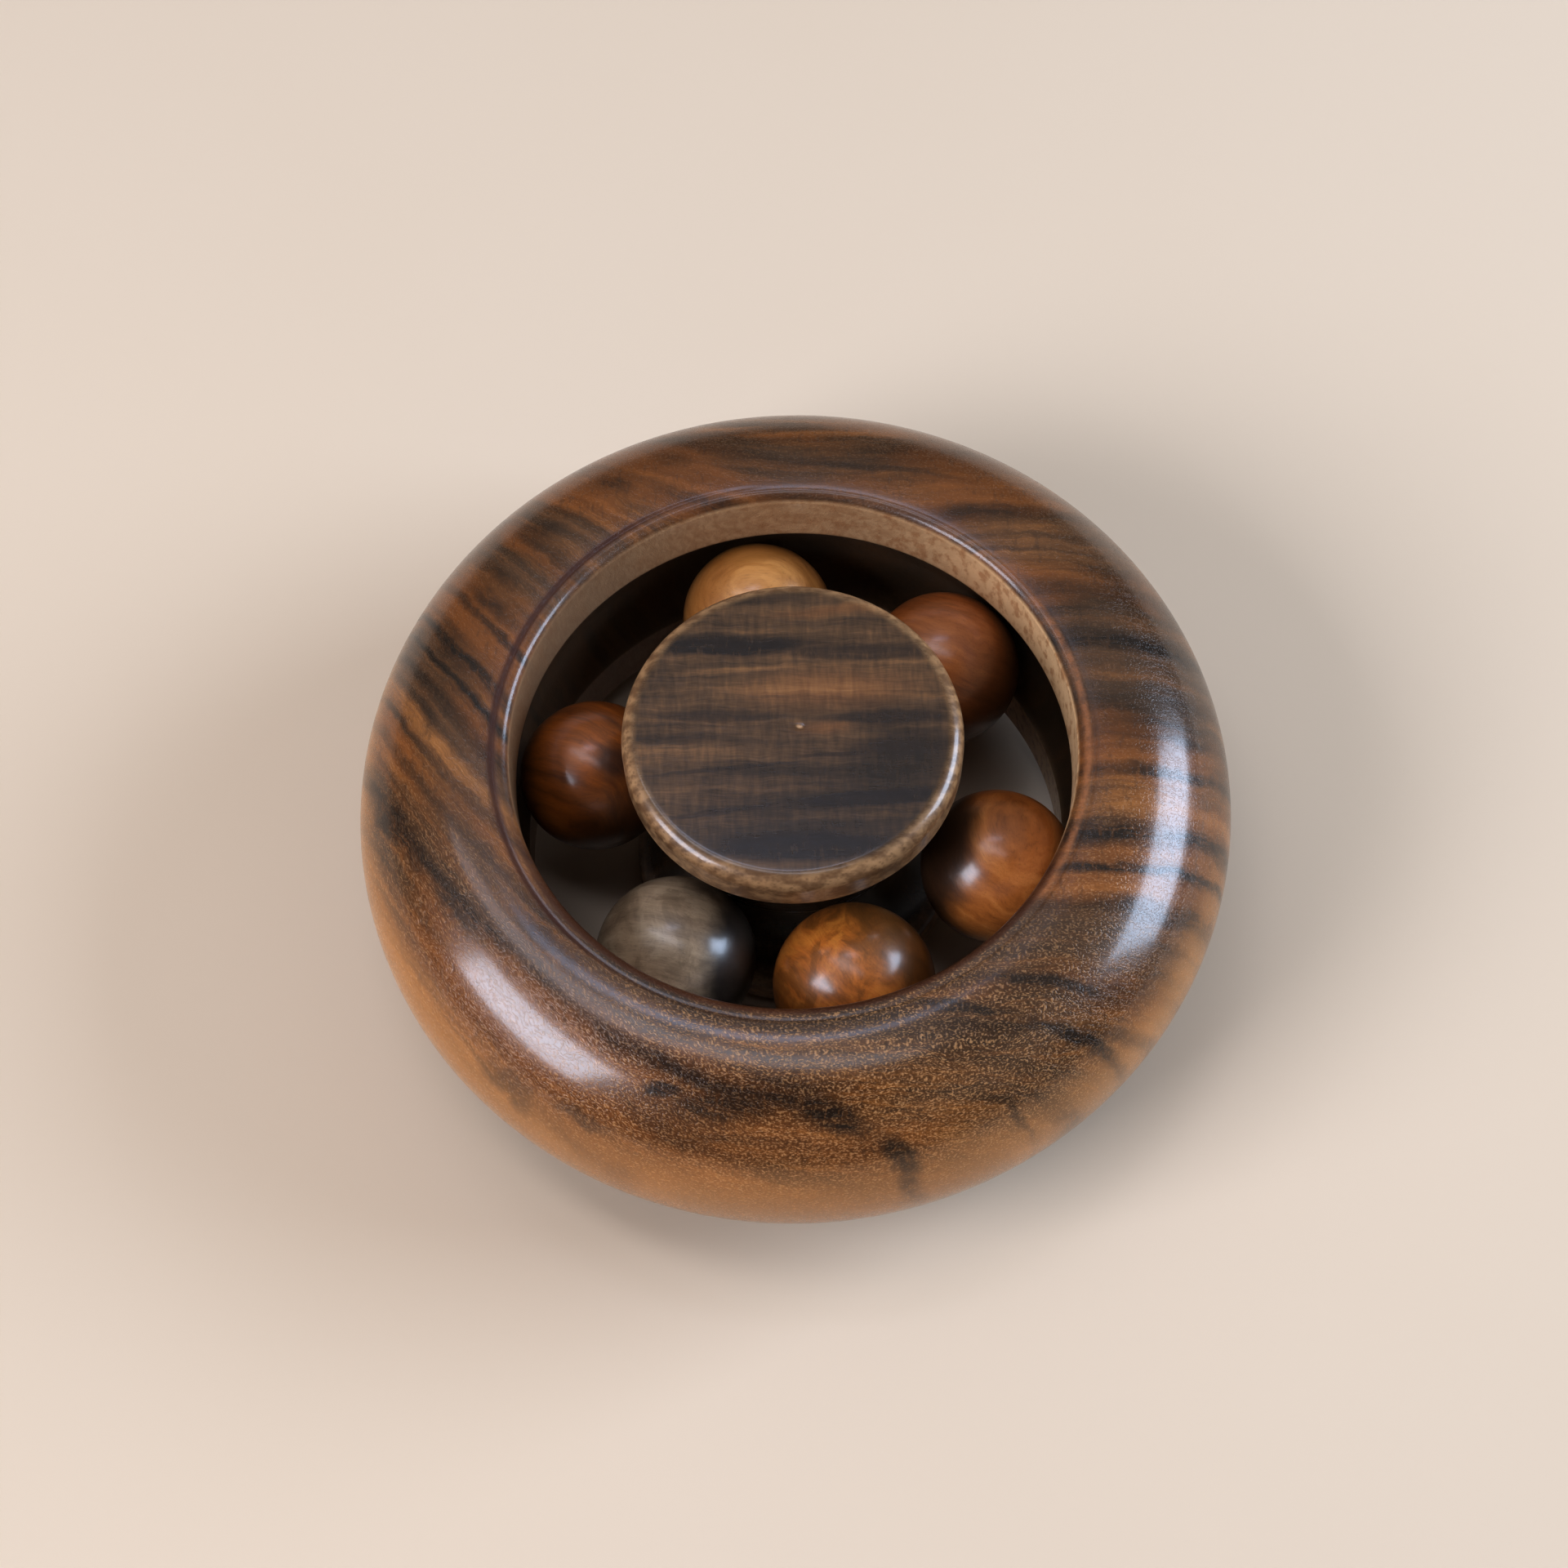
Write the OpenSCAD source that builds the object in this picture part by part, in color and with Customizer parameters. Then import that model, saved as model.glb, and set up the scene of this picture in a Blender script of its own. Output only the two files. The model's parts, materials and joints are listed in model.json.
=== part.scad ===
// Wooden fidget spinner.
// A turned wooden ring runs on six loose wooden balls around a spool-shaped hub.
// The hub is held between thumb and finger and the ring is spun.
// Millimetres. The hub stands on z = 0, the spin axis is the Z axis.

/* [Ring] */
// Outside diameter of the ring
ring_d = 56; // [54:0.5:64]
// Height of the ring, which is also the diameter of its round section
ring_h = 16.66; // [16:0.02:17.6]
// Diameter of the opening between the lip and the raceway
mouth_d = 35.1; // [34.8:0.1:35.6]
// Half height of the raceway where it opens into the ring
race_half_h = 3.97; // [3.6:0.01:4.2]
// Depth of the raceway behind the mouth
race_depth = 1.35; // [1.25:0.05:1.5]
// Rounding of the upper and the lower lip
lip_round = 0.75; // [0.5:0.05:0.9]
// Depth of the fine turned line that runs round outside each lip
lip_line = 0.09; // [0.05:0.01:0.12]

/* [Balls] */
// Nominal diameter of the wooden balls
ball_d = 10; // [9.6:0.05:10.1]
// Least gap between a ball and either race at rest
ball_gap = 0.14; // [0.1:0.01:0.18]

/* [Hub] */
// Overall height of the hub
hub_h = 19.2; // [19:0.1:22]
// Diameter of the two caps
cap_d = 21.16; // [20.6:0.02:22]
// Rounding of the outer edge of the caps
cap_edge = 1.05; // [0.6:0.05:1.3]
// Diameter of the neck at the bottom of the inner race
neck_d = 16.2; // [15.8:0.1:16.4]
// Radius of the cove that forms the neck and the inner race
cove_r = 10.8; // [10.2:0.1:11.4]

/* [Hub joint] */
// Diameter of the dowel that joins the two halves of the hub
dowel_d = 7; // [5:0.1:8]
// Length of the dowel
dowel_l = 12; // [8:0.5:14]
// Chamfer on both ends of the dowel
dowel_chamfer = 0.5; // [0.3:0.1:0.8]
// Glue gap round the dowel
glue_gap = 0.03; // [0.02:0.01:0.06]
// Free depth of each blind hole beyond the end of the dowel
hole_spare = 0.3; // [0.2:0.1:0.6]

/* [Hidden] */

$fn = 96;

mid_z = hub_h / 2;                     // height of the plane the balls run in
sec_r = ring_h / 2;                    // radius of the ring's round section
sec_c = ring_d / 2 - sec_r;            // radius of the circle the section runs on
mouth_r = mouth_d / 2;
race_max = mouth_r + race_depth;       // deepest point of the outer race
// radius of the raceway arc through the two mouth edges and the deepest point
race_r = (race_half_h * race_half_h + race_depth * race_depth) / (2 * race_depth);
draft = 1;                             // slope of the inner wall above the mouth, in degrees
function sec_top(r) = sqrt(sec_r * sec_r - (sec_c - r) * (sec_c - r));
// the lip rounding starts where the inner wall ends and ends on the round section
lip_x = mouth_r + 0.06 + lip_round;
lip_z = sec_top(lip_x) - lip_round;
line_x = lip_x + 0.22;                 // radius of the fine line outside the lip
line_z = sec_top(line_x);
line_tilt = asin((sec_c - line_x) / sec_r);

neck_r = neck_d / 2;
cap_r = cap_d / 2;
half_h = hub_h / 2;
dowel_r = dowel_d / 2;

// One row per ball: angle round the axis, size against ball_d, and where it lies
// between the inner race (0) and the outer race (1), because the balls are loose.
BALLS = [
    [170.8, 0.97, 0.00],
    [ 98.6, 1.01, 0.72],
    [ 42.3, 1.01, 0.83],
    [337.2, 0.98, 0.95],
    [284.3, 1.02, 0.50],
    [234.3, 1.01, 0.07]
];
function ball_r(i) = ball_d * BALLS[i][1] / 2;
function ball_play(i) = race_max - neck_r - 2 * ball_r(i) - 2 * ball_gap;
function ball_pitch(i) = neck_r + ball_r(i) + ball_gap + BALLS[i][2] * ball_play(i);

// Half of the ring's section above and below the middle plane is the same.
module lip_cut() {
    // rounds the inner edge of the lip
    difference() {
        translate([mouth_r - 1, lip_z]) square([lip_x - mouth_r + 1, 4]);
        translate([lip_x, lip_z]) circle(r = lip_round);
    }
    // fine turned line just outside the lip
    translate([line_x, line_z]) rotate(line_tilt)
        polygon([[-0.2, 0.2], [0.2, 0.2], [0.11, 0], [0, -lip_line], [-0.11, 0]]);
}

module ring_section() {
    difference() {
        translate([sec_c, 0]) circle(r = sec_r, $fn = 180);
        // opening through the middle, with a little draft towards both lips
        polygon([
            [0, 20], [mouth_r + (20 - race_half_h) * tan(draft), 20],
            [mouth_r, race_half_h], [mouth_r, -race_half_h],
            [mouth_r + (20 - race_half_h) * tan(draft), -20], [0, -20]
        ]);
        // raceway
        translate([race_max - race_r, 0]) circle(r = race_r, $fn = 180);
        lip_cut();
        mirror([0, 1]) lip_cut();
    }
}

module ring() {
    color([0.30, 0.19, 0.11])
    translate([0, 0, mid_z]) rotate_extrude($fn = 180) ring_section();
}

// Upper half of the spool, drawn from the middle plane upwards.
module spool_half() {
    difference() {
        rotate_extrude($fn = 144) difference() {
            union() {
                square([cap_r, half_h - cap_edge]);
                square([cap_r - cap_edge, half_h]);
                translate([cap_r - cap_edge, half_h - cap_edge]) circle(r = cap_edge);
            }
            translate([neck_r + cove_r, 0]) circle(r = cove_r, $fn = 180);
        }
        // blind hole for the dowel
        translate([0, 0, -1])
            cylinder(r = dowel_r + glue_gap, h = 1 + dowel_l / 2 + hole_spare);
    }
}

module hub_upper_half() {
    color([0.33, 0.22, 0.14])
    translate([0, 0, mid_z]) spool_half();
}

module hub_lower_half() {
    color([0.31, 0.20, 0.12])
    translate([0, 0, mid_z]) mirror([0, 0, 1]) spool_half();
}

module hub_dowel() {
    color([0.72, 0.55, 0.36])
    translate([0, 0, mid_z]) rotate_extrude() polygon([
        [0, -dowel_l / 2], [dowel_r - dowel_chamfer, -dowel_l / 2],
        [dowel_r, -dowel_l / 2 + dowel_chamfer],
        [dowel_r, dowel_l / 2 - dowel_chamfer],
        [dowel_r - dowel_chamfer, dowel_l / 2], [0, dowel_l / 2]
    ]);
}

module ball(i) {
    a = BALLS[i][0];
    translate([ball_pitch(i) * cos(a), ball_pitch(i) * sin(a), mid_z])
        sphere(r = ball_r(i));
}

module ball_left()        { color([0.42, 0.20, 0.09]) ball(0); }
module ball_far()         { color([0.78, 0.55, 0.28]) ball(1); }
module ball_upper_right() { color([0.56, 0.30, 0.12]) ball(2); }
module ball_lower_right() { color([0.54, 0.30, 0.12]) ball(3); }
module ball_near()        { color([0.62, 0.36, 0.10]) ball(4); }
module ball_lower_left()  { color([0.40, 0.34, 0.27]) ball(5); }

ring();
hub_upper_half();
hub_lower_half();
hub_dowel();
ball_left();
ball_far();
ball_upper_right();
ball_lower_right();
ball_near();
ball_lower_left();
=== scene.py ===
import json
import math

import bpy
import numpy as np
from mathutils import Matrix, Quaternion, Vector

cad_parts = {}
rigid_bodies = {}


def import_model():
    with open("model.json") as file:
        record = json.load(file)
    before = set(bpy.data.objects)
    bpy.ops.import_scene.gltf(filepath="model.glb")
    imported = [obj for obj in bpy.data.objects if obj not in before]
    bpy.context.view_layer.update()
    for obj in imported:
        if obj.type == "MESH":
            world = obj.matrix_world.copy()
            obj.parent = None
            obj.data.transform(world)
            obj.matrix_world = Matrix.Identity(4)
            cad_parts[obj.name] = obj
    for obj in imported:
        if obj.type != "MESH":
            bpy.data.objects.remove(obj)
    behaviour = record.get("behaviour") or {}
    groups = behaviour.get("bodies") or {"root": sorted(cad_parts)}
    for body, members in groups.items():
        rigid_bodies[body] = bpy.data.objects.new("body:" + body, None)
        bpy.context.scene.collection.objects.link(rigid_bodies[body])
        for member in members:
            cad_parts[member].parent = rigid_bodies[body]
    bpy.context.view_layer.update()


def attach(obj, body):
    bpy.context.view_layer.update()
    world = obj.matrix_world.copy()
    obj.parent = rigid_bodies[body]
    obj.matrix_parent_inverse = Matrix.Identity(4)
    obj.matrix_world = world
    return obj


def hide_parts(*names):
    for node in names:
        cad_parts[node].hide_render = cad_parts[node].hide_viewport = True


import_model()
scene = bpy.context.scene
MM = 0.001
MID = 9.6                      # height of the plane the balls run in, mm

# ---------------------------------------------------------------- camera
ELEV, DIST, FOCAL, ROLL = 63.76, 164.1, 3108.0, -1.92
AIM_X, AIM_Y = 12.9, -16.6     # where the hub's middle sits off the picture's middle, px, right and up


def make_camera():
    e, ro = math.radians(ELEV), math.radians(ROLL)
    fwd = Vector((0.0, math.cos(e), -math.sin(e)))
    right = Vector((1.0, 0.0, 0.0))
    up = Vector((0.0, math.sin(e), math.cos(e)))
    cx = right * math.cos(ro) + up * math.sin(ro)
    cy = -right * math.sin(ro) + up * math.cos(ro)
    place = -fwd * DIST * MM + Vector((0, 0, MID * MM))
    f2 = (fwd - cx * (AIM_X / FOCAL) - cy * (AIM_Y / FOCAL)).normalized()
    x2 = (cx - f2 * cx.dot(f2)).normalized()
    y2 = (-f2).cross(x2)
    cam = bpy.data.objects.new("camera", bpy.data.cameras.new("camera"))
    scene.collection.objects.link(cam)
    m = Matrix((
        (x2.x, y2.x, -f2.x, place.x),
        (x2.y, y2.y, -f2.y, place.y),
        (x2.z, y2.z, -f2.z, place.z),
        (0, 0, 0, 1)))
    cam.matrix_world = m
    cam.data.sensor_width = 36.0
    cam.data.lens = FOCAL / 1920.0 * 36.0
    cam.data.clip_start = 0.01
    cam.data.clip_end = 20.0
    scene.camera = cam


make_camera()

# ---------------------------------------------------------------- looks: node helpers


class Mat:
    """Small helper for building a procedural material."""

    def __init__(self, name):
        self.mat = bpy.data.materials.new(name)
        self.mat.use_nodes = True
        self.t = self.mat.node_tree
        self.n, self.l = self.t.nodes, self.t.links
        self.bsdf = next(n for n in self.n if n.type == "BSDF_PRINCIPLED")
        self.coord = None

    def put(self, socket, v):
        if isinstance(v, bpy.types.NodeSocket):
            self.l.new(v, socket)
        elif socket.type == "RGBA" and isinstance(v, (tuple, list)) and len(v) == 3:
            socket.default_value = (*v, 1.0)
        else:
            socket.default_value = v

    def m(self, op, a, b=None, c=None, clamp=False):
        n = self.n.new("ShaderNodeMath")
        n.operation, n.use_clamp = op, clamp
        for i, v in enumerate((a, b, c)):
            if v is not None:
                self.put(n.inputs[i], v)
        return n.outputs[0]

    def add(self, a, b): return self.m("ADD", a, b)
    def sub(self, a, b): return self.m("SUBTRACT", a, b)
    def mul(self, a, b): return self.m("MULTIPLY", a, b)

    def vm(self, op, a, b=None, scale=None):
        n = self.n.new("ShaderNodeVectorMath")
        n.operation = op
        self.put(n.inputs[0], a)
        if b is not None:
            self.put(n.inputs[1], b)
        if scale is not None:
            self.put(n.inputs["Scale"], scale)
        return n.outputs["Value"] if op in ("DOT_PRODUCT", "LENGTH") else n.outputs[0]

    def mm(self, turn=None, centre=(0, 0, MID)):
        """Object coordinates in millimetres about a centre, turned if asked."""
        if self.coord is None:
            self.coord = self.n.new("ShaderNodeTexCoord").outputs["Object"]
        v = self.vm("SCALE", self.coord, scale=1000.0)
        v = self.vm("SUBTRACT", v, tuple(centre))
        if turn is not None:
            n = self.n.new("ShaderNodeVectorRotate")
            n.rotation_type = "EULER_XYZ"
            self.put(n.inputs["Vector"], v)
            n.inputs["Rotation"].default_value = tuple(math.radians(a) for a in turn)
            v = n.outputs[0]
        return v

    def sep(self, v):
        n = self.n.new("ShaderNodeSeparateXYZ")
        self.put(n.inputs[0], v)
        return n.outputs[0], n.outputs[1], n.outputs[2]

    def vec(self, x, y, z):
        n = self.n.new("ShaderNodeCombineXYZ")
        for s, v in zip(n.inputs, (x, y, z)):
            self.put(s, v)
        return n.outputs[0]

    def stretch(self, xyz, k, shift=(0, 0, 0)):
        """A vector of the three values, each times its factor and shifted."""
        return self.vec(*[self.m("MULTIPLY_ADD", c, f, s) for c, f, s in zip(xyz, k, shift)])

    def noise(self, v, scale=1.0, detail=2.0, rough=0.5, dist=0.0, lac=2.0):
        n = self.n.new("ShaderNodeTexNoise")
        self.put(n.inputs["Vector"], v)
        n.inputs["Scale"].default_value = scale
        n.inputs["Detail"].default_value = detail
        n.inputs["Roughness"].default_value = rough
        n.inputs["Lacunarity"].default_value = lac
        n.inputs["Distortion"].default_value = dist
        return n.outputs[0]

    def cells(self, v, scale=1.0, rand=1.0, feature="F1"):
        n = self.n.new("ShaderNodeTexVoronoi")
        n.feature = feature
        self.put(n.inputs["Vector"], v)
        n.inputs["Scale"].default_value = scale
        n.inputs["Randomness"].default_value = rand
        return n.outputs["Distance"], n.outputs["Color"]

    def ramp(self, fac, stops, interp="LINEAR"):
        n = self.n.new("ShaderNodeValToRGB")
        n.color_ramp.interpolation = interp
        self.put(n.inputs[0], fac)
        el = n.color_ramp.elements
        while len(el) > 1:
            el.remove(el[-1])
        for i, (p, c) in enumerate(stops):
            e = el[0] if i == 0 else el.new(p)
            e.position = p
            e.color = (c, c, c, 1.0) if isinstance(c, (int, float)) else (*c, 1.0)
        return n.outputs[0]

    def curve(self, v, stops):
        """Straight lines through the stops, as a plain number."""
        n = self.n.new("ShaderNodeFloatCurve")
        self.put(n.inputs["Value"], v)
        n.mapping.use_clip = False
        n.mapping.extend = "HORIZONTAL"
        pts = n.mapping.curves[0].points
        for i, (x, y) in enumerate(stops):
            if i < 2:
                pts[i].location = (x, y)
            else:
                pts.new(x, y)
        for pt in pts:
            pt.handle_type = "VECTOR"
        n.mapping.update()
        return n.outputs[0]

    def mix(self, fac, a, b, blend="MIX"):
        n = self.n.new("ShaderNodeMix")
        n.data_type, n.blend_type = "RGBA", blend
        n.clamp_factor = True
        self.put(n.inputs[0], fac)
        self.put(n.inputs[6], a)
        self.put(n.inputs[7], b)
        return n.outputs[2]

    def span(self, v, lo, hi, to0=0.0, to1=1.0, smooth=True):
        n = self.n.new("ShaderNodeMapRange")
        n.interpolation_type = "SMOOTHSTEP" if smooth else "LINEAR"
        n.clamp = True
        for i, q in enumerate((v, lo, hi, to0, to1)):
            self.put(n.inputs[i], q)
        return n.outputs[0]

    def finish(self, color, rough, height=None, bump_mm=0.03, coat=0.0, coat_rough=0.1, spec=0.5, strength=1.0):
        b = self.bsdf
        self.put(b.inputs["Base Color"], color)
        self.put(b.inputs["Roughness"], rough)
        b.inputs["Coat Weight"].default_value = coat
        b.inputs["Coat Roughness"].default_value = coat_rough
        b.inputs["Coat IOR"].default_value = 1.5
        b.inputs["Specular IOR Level"].default_value = spec
        if height is not None:
            n = self.n.new("ShaderNodeBump")
            n.inputs["Strength"].default_value = strength
            n.inputs["Distance"].default_value = bump_mm * MM
            self.put(n.inputs["Height"], height)
            self.l.new(n.outputs[0], b.inputs["Normal"])
        return self.mat


def lin(r, g, b):
    """0-255 display colour to the linear values that a shader takes."""
    return tuple(((c / 255.0 + 0.055) / 1.055) ** 2.4 if c > 10 else c / 255.0 / 12.92 for c in (r, g, b))


# ---------------------------------------------------------------- looks: the woods

def streaks(q, flat, rows, out=None, soft=0.25, join="MAXIMUM"):
    """Lens-shaped marks in the wood, rows of [x, y, turn, half length, half width, depth]."""
    for x, y, turn, hl, hw, depth in rows:
        n = q.n.new("ShaderNodeMapping")
        n.vector_type = "TEXTURE"
        q.put(n.inputs["Vector"], flat)
        n.inputs["Location"].default_value = (x, y, 0)
        n.inputs["Rotation"].default_value = (0, 0, math.radians(turn))
        n.inputs["Scale"].default_value = (hl, hw, 1)
        v = q.span(q.vm("LENGTH", n.outputs[0]), 1.0, soft, 0.0, depth)
        out = v if out is None else q.m(join, out, v)
    return out


def zones(q, flat, rows, out):
    """Broad soft areas that add to a value, same rows as streaks."""
    return streaks(q, flat, rows, out, 0.1, "ADD")


def nudged(q, flat, value, by):
    """The place in the wood, moved a little along the grain by a value.

    A long list of marks is read in groups, each from the place that the group
    before it moved, because the renderer holds all the marks of one place at once.
    """
    return q.vm("ADD", flat, q.vec(q.mul(value, by), 0.0, 0.0))


def banded(q, g, bands, lo, hi):
    """Dark growth layers, rows of [place, half width, depth], seven layers to a curve."""
    f = q.span(g, lo, hi, 0.0, 1.0, smooth=False)
    out = None
    for i in range(0, len(bands), 7):
        stops = []
        for g0, w, d in bands[i:i + 7]:
            for off, v in ((-w * 1.15, 0.0), (-w * 0.3, d), (w * 0.3, d), (w * 1.15, 0.0)):
                stops.append(((g0 + off - lo) / (hi - lo), v))
        stops.sort()
        r = q.curve(f, stops)
        out = r if out is None else q.m("MAXIMUM", out, r)
    return out


DARK = lin(28, 20, 16)
TONES = [(0.00, lin(40, 26, 17)), (0.20, lin(66, 42, 24)), (0.38, lin(96, 60, 31)), (0.54, lin(127, 81, 41)),
         (0.70, lin(158, 105, 55)), (0.86, lin(184, 131, 77)), (1.00, lin(202, 153, 98))]


def striped(q, xyz, g, seed, broad=0.8, mid=0.7, fine=0.45, hair=0.3):
    """Streak values along the growth layers, from broad to fine, and the tone they add up to."""
    x, y, z = xyz
    s1 = q.noise(q.stretch((x, g, z), (0.030, 0.42, 0.07), (seed, 0, 0)), 1.0, 2.0, 0.5)
    s2 = q.noise(q.stretch((x, g, z), (0.075, 1.25, 0.20), (0, seed, 4.0)), 1.0, 2.0, 0.5)
    s3 = q.noise(q.stretch((x, g, z), (0.24, 4.5, 1.2), (2.0, 0, seed)), 1.0, 2.0, 0.6)
    s4 = q.noise(q.stretch((x, g, z), (1.1, 15.0, 8.0), (5.0, seed, 0)), 1.0, 2.0, 0.6)
    t = q.add(q.mul(q.sub(s1, 0.5), broad), q.mul(q.sub(s2, 0.5), mid))
    t = q.add(t, q.mul(q.sub(s3, 0.5), fine))
    t = q.add(t, q.mul(q.sub(s4, 0.5), hair))
    return t, s1, s2, s3, s4


def ring_material():
    q = Mat("ring_wood")
    P = q.mm()
    x, y, z = q.sep(P)
    R = q.m("SQRT", q.add(q.mul(x, x), q.mul(y, y)))
    az = q.m("ABSOLUTE", z)
    # slow wander of the layers, and a finer raggedness
    w1 = q.noise(q.stretch((x, y, z), (0.09, 0.13, 0.16), (4.0, 3.1, 5.7)), 1.0, 1.0)
    w2 = q.noise(q.stretch((x, y, z), (0.35, 0.75, 0.60), (1.3, 12.0, 2.2)), 1.0, 2.0)
    w3 = q.noise(q.stretch((x, y, z), (1.1, 3.2, 2.0), (4.0, 1.0, 9.0)), 1.0, 2.0)
    sway = q.add(q.mul(q.sub(w1, 0.5), 1.3), q.add(q.mul(q.sub(w2, 0.5), 0.9), q.mul(q.sub(w3, 0.5), 0.40)))
    ys = q.add(y, sway)
    # the layers run straight on the right and turn down to the right on the left side
    u = q.m("MAXIMUM", q.sub(3.0, x), 0.0)
    g = q.sub(ys, q.mul(q.m("POWER", u, 2.2), 0.0132))
    g = q.add(g, q.mul(q.sub(z, 7.5), 0.10))
    flat = q.vec(q.add(x, q.mul(q.sub(w2, 0.5), 1.2)), ys, 0.0)
    t, s1, s2, s3, s4 = striped(q, (x, y, z), g, 4.0, 0.75, 0.60, 0.36, 0.26)
    top = q.span(z, -3.0, 1.0)
    # broad tone areas: partly the wood's own tone and partly painted light and shade, lighter on the left and near side
    # where the lamps fall, darker on the far side
    tone = zones(q, flat, [
        (1, -26, 0, 20, 7.5, 0.03), (8, -23, -12, 9, 3.0, 0.05), (-24.5, -12, -60, 15, 5.5, 0.16), (-23.4, 0.5, -58, 8, 2.0, 0.18),
        (-17.2, -8.5, -57, 5.5, 1.4, 0.18), (-20, 14, -45, 11, 7, -0.08), (21, 9.5, 0, 9, 8, -0.06),
        (22, -4.9, 0, 8, 1.5, 0.26), (21, 3.9, 0, 8, 0.9, 0.32), (22, 0.6, 0, 7, 2.0, -0.08), (3, 21.6, -4, 10, 1.1, 0.07),
        (17, 13.6, -4, 5.5, 2.4, 0.12), (9, -19.4, -6, 14, 2.6, -0.15), (-7, -18.8, 12, 9, 1.8, -0.08),
        (21, 7.9, -2, 7, 0.7, 0.10), (19.5, -10.5, -3, 6, 0.7, 0.10), (24, -14, -50, 9, 2.5, 0.14),
        (0, 22, 0, 26, 7, -0.10), (23, 8, 0, 9, 12, -0.05), (21.5, 1.3, 0, 7, 1.7, -0.12), (-17, 17, -45, 10, 6, -0.07), (-22, 6, -65, 9, 5, -0.07),
        (12.0, 20.5, -22, 9, 4.0, -0.17), (-10, -17.6, -32, 11, 3.0, -0.12)], 0.355)
    flat = nudged(q, flat, tone, 0.30)
    tone = q.add(tone, q.add(t, q.mul(q.mul(q.sub(s3, 0.5), 0.45), q.span(y, -14.0, -20.0))))
    # tone to colour; the fine streaks above are stronger towards the near edge
    color = q.ramp(tone, TONES)
    hue = q.noise(q.stretch((x, g, z), (0.06, 0.16, 0.10), (9.0, 4.0, 1.0)), 1.0, 2.0)
    color = q.mix(q.span(hue, 0.44, 0.60, 0.0, 0.32), color, lin(150, 86, 36))
    color = q.mix(q.span(hue, 0.50, 0.36, 0.0, 0.28), color, lin(92, 72, 56))
    # dark layers
    fade = q.noise(q.stretch((x, g, z), (0.10, 0.16, 0.13), (4.0, 6.0, 2.0)), 1.0, 2.0)
    # the layers are softer and shorter round the far left
    layers = banded(q, g, [
        (16.2, 0.75, 0.80), (14.2, 0.35, 0.50), (13.0, 0.30, 0.45), (10.0, 0.95, 0.75), (8.6, 0.35, 0.50),
        (6.1, 0.95, 1.0), (5.0, 0.22, 0.40), (2.3, 0.85, 0.40), (0.4, 0.60, 0.45), (-0.5, 0.25, 0.40),
        (-2.8, 0.62, 0.95), (-7.0, 0.95, 1.0), (-9.35, 0.48, 1.0), (-11.8, 0.95, 0.80), (-13.8, 0.30, 0.40),
        (-16.6, 0.50, 0.75), (-19.0, 0.65, 0.75), (-23.5, 0.90, 0.90), (-27.0, 0.6, 0.5), (-30.5, 0.9, 0.6)],
        -36.0, 30.0)
    calm = streaks(q, flat, [(10, -24.5, -12, 11, 4.2, 1.0), (-3, -27.5, 0, 16, 2.8, 1.0), (2, -21, 0, 9, 1.6, 0.8),
                             (-16.5, -18.0, -45, 9, 3.5, 0.85)], soft=0.5)
    layers = q.mul(layers, q.span(fade, 0.34, 0.56, 0.40, 1.0))
    layers = q.mul(layers, q.sub(1.0, q.mul(calm, top)))
    blotch = q.noise(q.stretch((x, g, z), (0.22, 0.34, 0.20), (1.0, 2.0, 7.0)), 1.0, 2.0, 0.5)
    soft_side = streaks(q, flat, [(-16, 17, -45, 17, 9, 1.0), (0, 23, 0, 14, 5, 0.7)], soft=0.5)
    layers = q.mul(layers, q.sub(1.0, q.mul(q.mul(soft_side, top), q.span(blotch, 0.46, 0.62, 0.95, 0.45))))
    later = nudged(q, flat, q.add(calm, soft_side), 0.10)
    marks = streaks(q, later, [
        (-4.5, -23.3, -2, 6.0, 1.40, 0.92), (1.6, -24.1, -22, 4.4, 1.25, 1.0), (-1.0, -22.9, -4, 3.4, 0.9, 0.95), (-8.1, -22.4, -8, 2.1, 0.70, 1.0),
        (-1.6, -22.4, -12, 3.0, 0.75, 0.75), (-6.0, -24.8, -4, 5.0, 0.5, 0.45), (5.7, -26.2, -35, 2.3, 0.95, 0.95), (12.2, -23.4, -20, 2.8, 0.40, 0.75), (9.5, -18.0, -7, 5.5, 0.66, 0.95),
        (16.4, -19.4, -14, 5.6, 0.78, 1.0), (3.0, -17.7, 8, 4.5, 0.55, 0.7), (14.6, -16.6, -4, 7.0, 0.60, 0.95),
        (-17.5, -20.4, -42, 3.4, 1.0, 0.7), (-13.0, -22.9, -30, 3.0, 0.65, 0.65), (-24.3, -4.6, -57, 6.0, 0.9, 0.95),
        (-20.4, -10.6, -50, 4.5, 0.8, 0.8), (-15.0, -13.0, -52, 4.0, 0.8, 0.7),
        (18.0, -9.4, 2, 5.5, 0.35, 1.0), (19.5, -7.1, 0, 4.5, 0.85, 1.0), (21.5, 6.1, -1, 5.5, 0.95, 1.0),
        (6.5, 19.6, -8, 8.0, 0.5, 0.6), (-2.0, 23.6, 0, 9.0, 0.7, 0.6)])
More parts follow.
